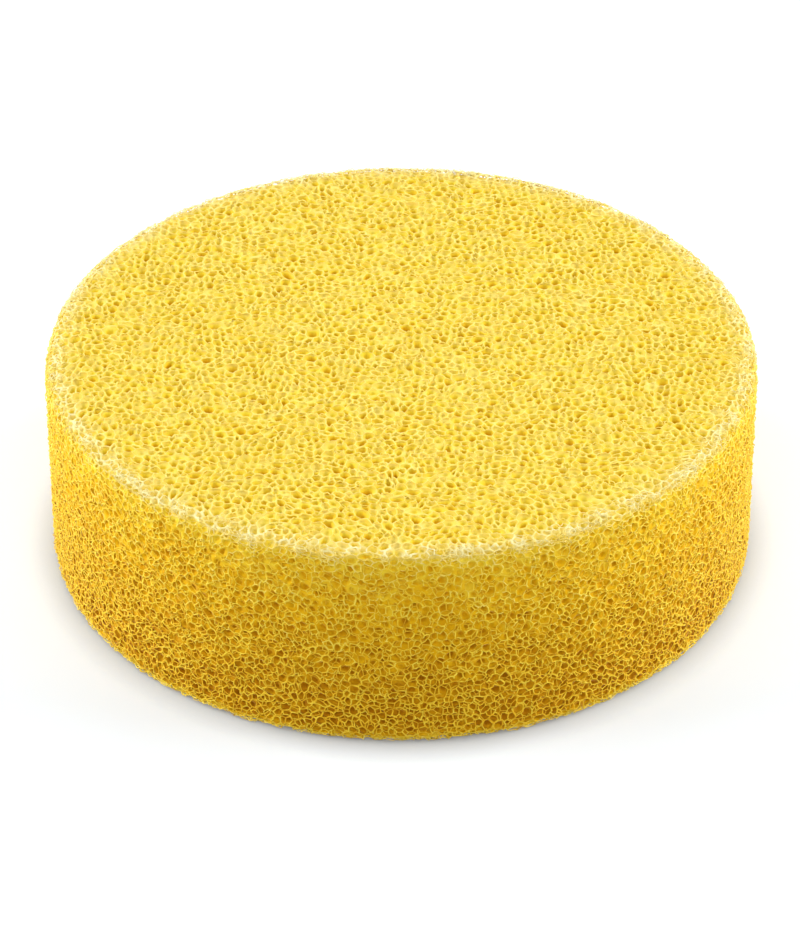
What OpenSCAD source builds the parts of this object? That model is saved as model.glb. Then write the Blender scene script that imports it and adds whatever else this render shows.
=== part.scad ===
// Round applicator pad, cut in one piece from open-cell foam.
// Modelled in millimetres. +Z is up, and the origin is the centre of the lower face,
// which the pad rests on. The foam is one closed solid, with its cut edges softened.

/* [Pad] */
// Diameter across the pad
pad_d = 80; // [40:1:150]
// Thickness from the lower face to the working face
pad_t = 25; // [10:1:50]

/* [Cut edges] */
// Radius of the softened rim round the working face
top_rim_r = 1.5; // [0.5:0.1:4]
// Radius of the rim round the lower face
base_rim_r = 1; // [0.5:0.1:4]

/* [Hidden] */
$fn = 96;

pad_r = pad_d / 2;
top_flat_r = pad_r - top_rim_r;
base_flat_r = pad_r - base_rim_r;

// Half of the pad's section, from its axis out to the cut wall
module half_section() {
    translate([0, base_rim_r]) square([pad_r, pad_t - base_rim_r - top_rim_r]);
    square([base_flat_r, pad_t - top_rim_r]);
    square([top_flat_r, pad_t]);
    translate([base_flat_r, base_rim_r]) circle(base_rim_r);
    translate([top_flat_r, pad_t - top_rim_r]) circle(top_rim_r);
}

// The pad itself: one round block of foam, the same all the way round
module foam_pad() {
    color("gold") rotate_extrude() half_section();
}

foam_pad();
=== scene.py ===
"""A round applicator pad of yellow open-cell foam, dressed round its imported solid. Metres, +Z up."""

import math
import random

import bmesh
import bpy
from mathutils import Matrix, Vector, geometry, noise


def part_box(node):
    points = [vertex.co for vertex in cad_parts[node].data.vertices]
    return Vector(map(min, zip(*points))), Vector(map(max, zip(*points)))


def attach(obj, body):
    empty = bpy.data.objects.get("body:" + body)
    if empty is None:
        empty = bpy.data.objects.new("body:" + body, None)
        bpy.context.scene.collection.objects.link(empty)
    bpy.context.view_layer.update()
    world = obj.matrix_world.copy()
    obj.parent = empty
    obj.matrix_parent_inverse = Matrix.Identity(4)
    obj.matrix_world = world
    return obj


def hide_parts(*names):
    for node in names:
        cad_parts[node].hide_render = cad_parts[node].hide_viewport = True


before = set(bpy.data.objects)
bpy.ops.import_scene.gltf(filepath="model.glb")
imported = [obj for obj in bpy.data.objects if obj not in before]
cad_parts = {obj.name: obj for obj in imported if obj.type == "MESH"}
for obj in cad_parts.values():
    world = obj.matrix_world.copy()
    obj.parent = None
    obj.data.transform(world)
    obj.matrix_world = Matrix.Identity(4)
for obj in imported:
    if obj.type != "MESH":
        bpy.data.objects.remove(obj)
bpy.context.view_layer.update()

# ---------------------------------------------------------------------------------------
# The foam mass
#
# The real pad is punched from a slab of yellow reticulated foam. A little behind the cut its
# cells overlap so closely that they read as one spongy mass of pale webs round golden pits.
# It is one piece of foam, modelled here as a closed skin with a pit sunk in every cell; the pits' deeper
# yellow is painted shade.
# ---------------------------------------------------------------------------------------
block_low, block_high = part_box("foam_pad")
block_radius = (block_high.x - block_low.x) / 2
block_height = block_high.z - block_low.z
top_rim_radius = 0.0015
base_rim_radius = 0.001
cell_pitch = 0.00105
cell_spread = 0.46
cell_relaxing = 0.4
first_seed_at = 0.2
last_seed_at = 0.4
mass_depth = 0.00015
foot_depth = 0.0003
mass_unevenness = 0.00012
rim_set_back = 0.0002
rim_band = 0.0018
# The top rim is paled in patches of cream: a painted highlight where its struts catch the light.
rim_highlight_strength = 0.28
rim_highlight_share = 0.5
rim_highlight_swing = 1.2
rim_highlight_scale = 800
head_closed = 0.65
foot_closed = 0.35
rim_closed = 0.6
# The mass's yellow is deeper than the struts' in front of it, painted shade for its depth; on the wall it
# is deeper still and darker towards the foot, painted shade.
mass_tones = (0.36, 0.62, 0.99)
cream = (1.0, 0.91, 0.46, 1)
yellows_between = ((0.22, (0.96, 0.78, 0.21, 1)), (0.50, (0.94, 0.71, 0.045, 1)),
                   (0.75, (0.83, 0.47, 0.005, 1)))
amber = (0.52, 0.22, 0.002, 1)
mottle_scale = 600
grain_scale = 5000
smoothest, dullest = 0.5, 0.9
sheen_amount = 0.4
sheen_spread = 0.35
sheen_cream = (1.0, 0.94, 0.60, 1)

random.seed(7)


def on_block(station, angle):
    """A point on the block. The station runs over the top, down the wall and back under the base."""
    section = 2 * block_radius + block_height
    if station < block_radius:
        reach, rise = station, block_height
    elif station < block_radius + block_height:
        reach, rise = block_radius, block_height + block_radius - station
    else:
        reach, rise = section - station, 0
    rim = top_rim_radius if rise > block_height / 2 else base_rim_radius
    core = Vector((min(reach, block_radius - rim),
                   min(max(rise, base_rim_radius), block_height - top_rim_radius)))
    reach, rise = core + (Vector((reach, rise)) - core).normalized() * rim
    return Vector((reach * math.cos(angle), reach * math.sin(angle), rise))


def on_map(station, angle):
    """The same point on a flat map of the block that keeps its angles, so that its triangles stay good."""
    if station < block_radius:
        reach = station
    elif station < block_radius + block_height:
        reach = block_radius * math.exp((station - block_radius) / block_radius)
    else:
        around = math.exp(block_height / block_radius)
        reach = block_radius ** 2 * around / (2 * block_radius + block_height - station)
    return Vector((reach * math.cos(angle), reach * math.sin(angle))) / block_radius


def wrap_cells():
    """Irregular cells that cover the block: strewn seeds, joined in triangles, turned to cells."""
    section = 2 * block_radius + block_height
    row_step = cell_pitch * math.sin(math.radians(60))
    rings = round(section / row_step)
    seeds = []
    for ring in range(rings):
        station = section * (ring + 0.5) / rings
        around = max(3, round(2 * math.pi * on_block(station, 0).x / cell_pitch))
        for k in range(around):
            strayed = station + random.uniform(-cell_spread, cell_spread) * cell_pitch
            strayed = min(max(strayed, first_seed_at * cell_pitch), section - last_seed_at * cell_pitch)
            turn = k + ring % 2 / 2 + random.uniform(-cell_spread, cell_spread)
            seeds.append((strayed, 2 * math.pi * turn / around))

    froth = bmesh.new()
    seed_verts = [froth.verts.new(on_block(*seed)) for seed in seeds]
    _, _, triangles, origins, _, _ = geometry.delaunay_2d_cdt(
        [on_map(*seed) for seed in seeds], [], [], 0, 1e-9)
    for triangle in triangles:
        froth.faces.new([seed_verts[origins[corner][0]] for corner in triangle])
    bmesh.ops.holes_fill(froth, edges=[e for e in froth.edges if e.is_boundary], sides=0)
    bmesh.ops.triangulate(froth, faces=[f for f in froth.faces if len(f.verts) > 3])
    froth_mesh = bpy.data.meshes.new("froth")
    froth.to_mesh(froth_mesh)
    froth.free()

    turn_to_cells = bpy.data.node_groups.new("triangles to cells", "GeometryNodeTree")
    turn_to_cells.interface.new_socket("Geometry", in_out="INPUT", socket_type="NodeSocketGeometry")
    turn_to_cells.interface.new_socket("Geometry", in_out="OUTPUT", socket_type="NodeSocketGeometry")
    froth_in = turn_to_cells.nodes.new("NodeGroupInput")
    dual = turn_to_cells.nodes.new("GeometryNodeDualMesh")
    froth_out = turn_to_cells.nodes.new("NodeGroupOutput")
    turn_to_cells.links.new(froth_in.outputs[0], dual.inputs[0])
    turn_to_cells.links.new(dual.outputs[0], froth_out.inputs[0])

    froth_object = bpy.data.objects.new("froth", froth_mesh)
    bpy.context.scene.collection.objects.link(froth_object)
    froth_object.modifiers.new("cells", "NODES").node_group = turn_to_cells
    wrapped = bmesh.new()
    wrapped.from_object(froth_object, bpy.context.evaluated_depsgraph_get())
    bpy.data.objects.remove(froth_object)
    bmesh.ops.smooth_vert(wrapped, verts=wrapped.verts, factor=cell_relaxing,
                          use_axis_x=True, use_axis_y=True, use_axis_z=True)
    wrapped.normal_update()
    return wrapped


def rim_nearness(place):
    """One at the top rim, fading to nothing within a few millimetres."""
    from_axis = math.hypot(place.x, place.y)
    away = math.hypot(block_radius - top_rim_radius / 2 - from_axis, block_height - place.z)
    return math.exp(-(away / rim_band) ** 2)


def tone_at(place, normal, tones):
    """How deep the yellow is, from 0, cream, to 1, amber. The wall is deeper than the face and darker
    towards its foot, painted shade, and the top rim is paled in patches, a painted highlight.
    """
    on_face, wall_head, wall_foot = tones
    side = 1 - abs(normal.z)
    # Painted shade: the wall deeper than the face and darker towards its foot.
    down = 1 - place.z / block_height
    wall = wall_head + (wall_foot - wall_head) * down
    patch = rim_highlight_share + rim_highlight_swing * noise.noise(place * rim_highlight_scale)
    # Painted highlight: the top rim's upward faces paled in patches.
    painted_highlight = rim_nearness(place) * max(0, normal.z) * patch
    return on_face + (wall - on_face) * side - rim_highlight_strength * painted_highlight


def openness_at(place, normal):
    """How open the pits are: one on the flat faces, less up the wall and at the top rim."""
    side = 1 - abs(normal.z)
    down = 1 - place.z / block_height
    closed = side * (head_closed + (foot_closed - head_closed) * down)
    return (1 - closed) * (1 - rim_closed * rim_nearness(place))


def region(cell):
    """The face, the wall or the base, whichever the cell is nearest to. They meet at the rims."""
    middle = cell.calc_center_median()
    from_wall = block_radius - math.hypot(middle.x, middle.y)
    return min((block_height - middle.z, "face"), (from_wall, "wall"), (middle.z, "base"))[1]


def cut_region(layer, where):
    part = layer.copy()
    part.normal_update()
    bmesh.ops.delete(part, geom=[f for f in part.faces if region(f) != where], context="FACES")
    return part


def foam_piece(name, bm, finish):
    """Makes a part of the pad, which is soft foam all through, from its mesh."""
    for face in bm.faces:
        face.smooth = True
    mesh = bpy.data.meshes.new(name)
    bm.to_mesh(mesh)
    bm.free()
    mesh.materials.append(finish)
    piece = bpy.data.objects.new(name, mesh)
    bpy.context.scene.collection.objects.link(piece)
    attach(piece, "root")
    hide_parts("foam_pad")


foam_yellows = bpy.data.node_groups.new("foam yellows", "ShaderNodeTree")
foam_yellows.interface.new_socket("Tone", in_out="INPUT", socket_type="NodeSocketFloat")
foam_yellows.interface.new_socket("Mottle", in_out="INPUT", socket_type="NodeSocketFloat")
foam_yellows.interface.new_socket("Colour", in_out="OUTPUT", socket_type="NodeSocketColor")
foam_yellows.interface.new_socket("Roughness", in_out="OUTPUT", socket_type="NodeSocketFloat")
foam_yellows.interface.new_socket("Height", in_out="OUTPUT", socket_type="NodeSocketFloat")
nodes, links = foam_yellows.nodes, foam_yellows.links
given = nodes.new("NodeGroupInput")
put_out = nodes.new("NodeGroupOutput")
where_on = nodes.new("ShaderNodeTexCoord")
patches = nodes.new("ShaderNodeTexNoise")
patches.inputs["Scale"].default_value = mottle_scale
patches.inputs["Detail"].default_value = 3
links.new(where_on.outputs["Object"], patches.inputs["Vector"])
centred = nodes.new("ShaderNodeMath")
centred.operation = "SUBTRACT"
centred.inputs[1].default_value = 0.5
links.new(patches.outputs["Fac"], centred.inputs[0])
mottled = nodes.new("ShaderNodeMath")
mottled.operation = "MULTIPLY_ADD"
links.new(centred.outputs[0], mottled.inputs[0])
links.new(given.outputs["Mottle"], mottled.inputs[1])
links.new(given.outputs["Tone"], mottled.inputs[2])
yellows = nodes.new("ShaderNodeValToRGB")
stops = yellows.color_ramp.elements
stops[0].color = cream
stops[1].color = amber
for step, colour in yellows_between:
    stops.new(step).color = colour
links.new(mottled.outputs[0], yellows.inputs["Fac"])
links.new(yellows.outputs["Color"], put_out.inputs["Colour"])
fine_grain = nodes.new("ShaderNodeTexNoise")
fine_grain.inputs["Scale"].default_value = grain_scale
fine_grain.inputs["Detail"].default_value = 2
links.new(where_on.outputs["Object"], fine_grain.inputs["Vector"])
dull = nodes.new("ShaderNodeMapRange")
dull.inputs["To Min"].default_value = smoothest
dull.inputs["To Max"].default_value = dullest
links.new(fine_grain.outputs["Fac"], dull.inputs["Value"])
links.new(dull.outputs["Result"], put_out.inputs["Roughness"])
links.new(fine_grain.outputs["Fac"], put_out.inputs["Height"])


def foam_finish(name, specular, mottle, grain_depth):
    """A dull, slightly downy yellow, which takes its depth from the tone kept on the mesh."""
    foam = bpy.data.materials.new(name)
    foam.use_nodes = True
    nodes, links = foam.node_tree.nodes, foam.node_tree.links
    shader = nodes["Principled BSDF"]
    shader.inputs["Specular IOR Level"].default_value = specular
    shader.inputs["Sheen Weight"].default_value = sheen_amount
    shader.inputs["Sheen Roughness"].default_value = sheen_spread
    shader.inputs["Sheen Tint"].default_value = sheen_cream
    tone = nodes.new("ShaderNodeAttribute")
    tone.attribute_name = "tone"
    yellow = nodes.new("ShaderNodeGroup")
    yellow.node_tree = foam_yellows
    yellow.inputs["Mottle"].default_value = mottle
    bump = nodes.new("ShaderNodeBump")
    bump.inputs["Distance"].default_value = grain_depth
    links.new(tone.outputs["Fac"], yellow.inputs["Tone"])
    links.new(yellow.outputs["Colour"], shader.inputs["Base Color"])
    links.new(yellow.outputs["Roughness"], shader.inputs["Roughness"])
    links.new(yellow.outputs["Height"], bump.inputs["Height"])
    links.new(bump.outputs["Normal"], shader.inputs["Normal"])
    return foam


mass_finish = foam_finish("foam mass", specular=0.05, mottle=0.5, grain_depth=0.00002)

cells = wrap_cells()
mass = cells.copy()
tone = mass.verts.layers.float.new("tone")
for vert in mass.verts:
    vert[tone] = tone_at(vert.co, vert.normal, mass_tones)
    down = (1 - abs(vert.normal.z)) * (1 - vert.co.z / block_height)
    sink = mass_depth + (foot_depth - mass_depth) * down
    sink += random.uniform(-mass_unevenness, mass_unevenness)
    sink += rim_set_back * rim_nearness(vert.co)
    vert.co -= vert.normal * sink

least_hollow = 0.1
pit_slip = 0.12
lip_share = 0.46
lip_widening = 0.22
lip_sink = 0.03
lip_drop = 0.06
# Painted shade in the pits: each ring of a pit is a deeper yellow the deeper and more open it is.
lip_painted_shade = 0.22
floor_share = 0.74
floor_sink = 0.11
floor_drop = 0.26
floor_painted_shade = 0.30
bottom_drop = 0.13
bottom_painted_shade = 0.15
# How much painted shade each region's pits get.
pit_painted_shades = {"face": 0.8, "wall": 0.55, "base": 0.8}

for where, pit_shade in pit_painted_shades.items():
    part = cut_region(mass, where)
    tone = part.verts.layers.float["tone"]
    pits = []
    for cell in part.faces:
        centre = cell.calc_center_median()
        hollow = random.uniform(least_hollow, 1) * openness_at(centre, cell.normal)
        width = math.sqrt(cell.calc_area())
        slip = Vector([random.uniform(-1, 1) for axis in range(3)]) * pit_slip * width
        pits.append((cell, centre, cell.normal.copy(), width, hollow, slip))
    holes = [pit[0] for pit in pits]
    bmesh.ops.inset_individual(part, faces=holes, thickness=0, depth=0)
    for cell, centre, normal, width, hollow, slip in pits:
        share = lip_share + lip_widening * hollow
        sunk = normal * width * (lip_sink + lip_drop * hollow)
        for vert in cell.verts:
            vert.co = centre + slip + (vert.co - centre) * share - sunk
            vert[tone] += lip_painted_shade * pit_shade * hollow
    bmesh.ops.inset_individual(part, faces=holes, thickness=0, depth=0)
    for cell, centre, normal, width, hollow, slip in pits:
        sunk = normal * width * (floor_sink + floor_drop * hollow)
        for vert in cell.verts:
            vert.co = centre + slip + (vert.co - centre - slip) * floor_share - sunk
            vert[tone] += floor_painted_shade * pit_shade * hollow
    poked = bmesh.ops.poke(part, faces=holes, offset=0)
    for vert, (cell, centre, normal, width, hollow, slip) in zip(poked["verts"], pits):
        vert.co -= normal * width * bottom_drop * hollow
        vert[tone] += bottom_painted_shade * pit_shade * hollow
    part.normal_update()
    foam_piece(f"foam_mass_{where}", part, mass_finish)
mass.free()

# ---------------------------------------------------------------------------------------
# The struts at the cut
#
# Reticulated foam keeps only the struts round its cells. The cut leaves a ragged net of them
# standing proud of the mass, each a thin flexible bar of the same foam, three to a joint.
# A second net, turned against the first, shows through it all over the wall.
# ---------------------------------------------------------------------------------------
thick_struts = (0.00007, 0.00010, 0.00015)
thin_struts = (0.00005, 0.00007, 0.00010)
strut_depth = 0.00006
strut_stray = 0.00008
overshoot_share = 0.7
# The struts' flanks are a deeper yellow than their ridges: painted shade.
flank_painted_shade = 0.32
wall_flank_painted_shade = 0.13
outer_turn = 0
inner_turn = 40
face_lift = (-0.00013, 0.00012)
wall_lift = (-0.00024, 0.00013)
inner_lift = (-0.0002, 0.00003)
# On the wall the struts' yellow is deeper and darker towards the foot, painted shade; the inner net is
# deeper than the outer, painted shade for its depth.
outer_tones = (0.22, 0.40, 0.60)
inner_tones = (0.24, 0.50, 0.60)
face_tone_stray = 0.05
wall_tone_stray = 0.13
strut_finish = foam_finish("foam struts", specular=0.2, mottle=0.2, grain_depth=0.00001)


def loose_net(turn, lift, tones, tone_stray, bends):
    """The cells' outlines, turned about the pad's axis and strayed from the cut, as one net."""
    net = cells.copy()
    turned = Matrix.Rotation(math.radians(turn), 3, "Z")
    bmesh.ops.rotate(net, verts=net.verts, cent=(0, 0, 0), matrix=turned)
    if bends:
        bmesh.ops.subdivide_edges(net, edges=net.edges, cuts=bends)
    net.normal_update()
    tone = net.verts.layers.float.new("tone")
    for vert in net.verts:
        vert[tone] = tone_at(vert.co, vert.normal, tones) + random.uniform(-tone_stray, tone_stray)
        vert.co += vert.normal * random.uniform(*lift)
        vert.co += Vector([random.uniform(-1, 1) for axis in range(3)]) * strut_stray
        vert.co.z = max(vert.co.z, 0)
    return net


def strut_piece(name, net, strut_halves, flank_shade):
    """A band of struts runs round each cell, high on the outline and sunk on the flanks, whose yellow is
    deepened by painted shade, less so near the top rim.
    """
    tone = net.verts.layers.float["tone"]
    ridge = set(net.verts)
    openings = list(net.faces)
    random.shuffle(openings)
    middles = [cell.calc_center_median() for cell in openings]
    reaches = [max((vert.co - middle).length for vert in cell.verts)
               for cell, middle in zip(openings, middles)]
    kinds = len(strut_halves)
    for k, half in enumerate(strut_halves):
        bmesh.ops.inset_individual(net, faces=openings[k::kinds], thickness=half,
                                   depth=-strut_depth, use_even_offset=True)
    for cell, middle, reach in zip(openings, middles, reaches):
        for vert in cell.verts:
            if (vert.co - middle).length > reach:
                vert.co = middle + (vert.co - middle).normalized() * reach * overshoot_share
    bmesh.ops.delete(net, geom=openings, context="FACES_ONLY")
    # Painted shade on the flanks, faded out near the top rim.
    for vert in net.verts:
        if vert not in ridge:
            vert[tone] += flank_shade * (1 - rim_nearness(vert.co))
    foam_piece(name, net, strut_finish)


face_net = loose_net(outer_turn, face_lift, outer_tones, face_tone_stray, bends=1)
strut_piece("face_struts", cut_region(face_net, "face"), thick_struts, flank_painted_shade)
face_net.free()
wall_net = loose_net(outer_turn, wall_lift, outer_tones, wall_tone_stray, bends=1)
strut_piece("wall_struts", cut_region(wall_net, "wall"), thin_struts, wall_flank_painted_shade)
wall_net.free()
base_net = loose_net(outer_turn, face_lift, outer_tones, face_tone_stray, bends=0)
strut_piece("base_struts", cut_region(base_net, "base"), thick_struts, flank_painted_shade)
base_net.free()
inner_net = loose_net(inner_turn, inner_lift, inner_tones, wall_tone_stray, bends=0)
strut_piece("inner_wall_struts", cut_region(inner_net, "wall"), thin_struts, flank_painted_shade)
inner_net.free()

# ---------------------------------------------------------------------------------------
# The frayed rim
#
# Along the top rim the punch leaves the outermost cells open on two sides. Their hair-thin,
# pale struts stand up as a fringe of loops, which is the same foam as the rest of the pad.
# Their cream is partly the painted highlight of the top rim.
# ---------------------------------------------------------------------------------------
hair_struts = (0.00003, 0.00004, 0.00006)
fringe_reach = 0.0017
fringe_facing = 0.55
fringe_layers = ((95, (-0.0001, 0.00012)), (200, (0.0, 0.00025)))
# The fringe is paler than the struts below it, part of the painted highlight along the top rim.
fringe_tones = (0.20, 0.26, 0.4)
fringe_tone_stray = 0.1
fringe_flank_painted_shade = 0.0
fringe_patches = 350
fringe_gap = -0.08

for k, (turn, lift) in enumerate(fringe_layers):
    fringe = loose_net(turn, lift, fringe_tones, fringe_tone_stray, bends=1)
    fringe.normal_update()
    worn_off = []
    for cell in fringe.faces:
        centre = cell.calc_center_median()
        from_rim = math.hypot(block_radius - math.hypot(centre.x, centre.y), block_height - centre.z)
        in_gap = noise.noise(centre * fringe_patches) < fringe_gap
        if from_rim > fringe_reach or cell.normal.z < fringe_facing or in_gap:
            worn_off.append(cell)
    bmesh.ops.delete(fringe, geom=worn_off, context="FACES")
    strut_piece(f"rim_fringe_{k + 1}", fringe, hair_struts, fringe_flank_painted_shade)
cells.free()

# ---------------------------------------------------------------------------------------
# The table
#
# The pad lies flat on a matt white table. To the eye the table is plain white, darkened softly
# where the pad rests on it by its shadow and a painted contact shadow, and to the light it is
# pale grey, so that it doesn't flood the foam.
# ---------------------------------------------------------------------------------------
table_radius = 0.6
table_sides = 96
table_grey = (0.6, 0.6, 0.6, 1)
table_white = (0.82, 0.88, 0.94, 1)
# The painted contact shadow: grey close to the pad, fading out within a few millimetres.
painted_shadow_grey = (0.27, 0.27, 0.27, 1)
painted_shadow_reach = 0.004
table_glow = 0.17
table_glow_colour = (0.86, 0.90, 0.96, 1)

table_bm = bmesh.new()
bmesh.ops.create_circle(table_bm, cap_ends=True, radius=table_radius, segments=table_sides)
table_mesh = bpy.data.meshes.new("table")
table_bm.to_mesh(table_mesh)
table_bm.free()
table = bpy.data.objects.new("table", table_mesh)
bpy.context.scene.collection.objects.link(table)


def seen_directly(nodes, links):
    """One for camera, glossy and transmission rays, nought for the light that falls on the pad."""
    path = nodes.new("ShaderNodeLightPath")
    total = path.outputs["Is Camera Ray"]
    for kind in ("Is Glossy Ray", "Is Transmission Ray"):
        added = nodes.new("ShaderNodeMath")
        added.use_clamp = True
        links.new(total, added.inputs[0])
        links.new(path.outputs[kind], added.inputs[1])
        total = added.outputs[0]
    return total


table_paint = bpy.data.materials.new("white table")
table_paint.use_nodes = True
nodes, links = table_paint.node_tree.nodes, table_paint.node_tree.links
shader = nodes["Principled BSDF"]
shader.inputs["Roughness"].default_value = 0.9
shader.inputs["Specular IOR Level"].default_value = 0.0
shader.inputs["Emission Color"].default_value = table_glow_colour
seen = seen_directly(nodes, links)
# A painted contact shadow: the white turns grey close to the pad.
contact = nodes.new("ShaderNodeAmbientOcclusion")
contact.samples = 8
contact.inputs["Distance"].default_value = painted_shadow_reach
near_pad = nodes.new("ShaderNodeMix")
near_pad.data_type = "RGBA"
near_pad.inputs["A"].default_value = painted_shadow_grey
near_pad.inputs["B"].default_value = table_white
links.new(contact.outputs["AO"], near_pad.inputs["Factor"])
table_shown = nodes.new("ShaderNodeMix")
table_shown.data_type = "RGBA"
table_shown.inputs["A"].default_value = table_grey
links.new(near_pad.outputs["Result"], table_shown.inputs["B"])
links.new(seen, table_shown.inputs["Factor"])
links.new(table_shown.outputs["Result"], shader.inputs["Base Color"])
glow = nodes.new("ShaderNodeMix")
glow.inputs["A"].default_value = 0.0
glow.inputs["B"].default_value = table_glow
links.new(seen, glow.inputs["Factor"])
links.new(glow.outputs["Result"], shader.inputs["Emission Strength"])
table.data.materials.append(table_paint)

# ---------------------------------------------------------------------------------------
# The lamps
#
# The studio has a softbox over the pad, one above the camera, one behind and a strong one low
# at each side, so the pad's sides are lighter than its front. The white room fills in the rest.
# ---------------------------------------------------------------------------------------
room_light = 0.315
room_shown = 1.0
softboxes = (("overhead", (0, 0.35, 0.8), (0.9, 0.9), 0.2),
             ("back", (0, 0.75, 0.3), (0.7, 0.4), 1.9),
             ("front", (0, -0.55, 0.5), (0.7, 0.4), 1.8),
             ("left", (-0.7, 0.1, 0.25), (0.6, 0.5), 6.4),
             ("right", (0.7, 0.1, 0.25), (0.6, 0.5), 6.4))
lamp_aim = Vector((0, 0, 0.01))

room = bpy.data.worlds.new("white room")
bpy.context.scene.world = room
room.use_nodes = True
nodes, links = room.node_tree.nodes, room.node_tree.links
background = nodes["Background"]
background.inputs["Color"].default_value = (1, 1, 1, 1)
room_strength = nodes.new("ShaderNodeMix")
room_strength.inputs["A"].default_value = room_light
room_strength.inputs["B"].default_value = room_shown
links.new(seen_directly(nodes, links), room_strength.inputs["Factor"])
links.new(room_strength.outputs["Result"], background.inputs["Strength"])

for name, place, (width, depth), power in softboxes:
    lamp = bpy.data.lights.new(name, "AREA")
    lamp.shape = "RECTANGLE"
    lamp.size = width
    lamp.size_y = depth
    lamp.energy = power
    stand = bpy.data.objects.new(name, lamp)
    bpy.context.scene.collection.objects.link(stand)
    stand.location = place
    stand.rotation_euler = (lamp_aim - Vector(place)).to_track_quat("-Z", "Y").to_euler()

# ---------------------------------------------------------------------------------------
# The camera
#
# A long lens stands six diameters away and looks down at the pad, so its round top is seen as
# an ellipse nearly twice as wide as it is deep, with the whole front of the wall below it.
# ---------------------------------------------------------------------------------------
camera_elevation = math.radians(35.0)
camera_distance = 6.2 * 2 * block_radius
camera_aim = Vector((-0.00015, 0, 0.346 * block_height))
lens_length = 167.1
sensor_width = 36.0

camera = bpy.data.cameras.new("camera")
camera.lens = lens_length
camera.sensor_width = sensor_width
tripod = bpy.data.objects.new("camera", camera)
bpy.context.scene.collection.objects.link(tripod)
backwards = Vector((0, -math.cos(camera_elevation), math.sin(camera_elevation)))
tripod.location = camera_aim + camera_distance * backwards
tripod.rotation_euler = (-backwards).to_track_quat("-Z", "Y").to_euler()
bpy.context.scene.camera = tripod
bpy.context.scene.view_settings.view_transform = "Standard"
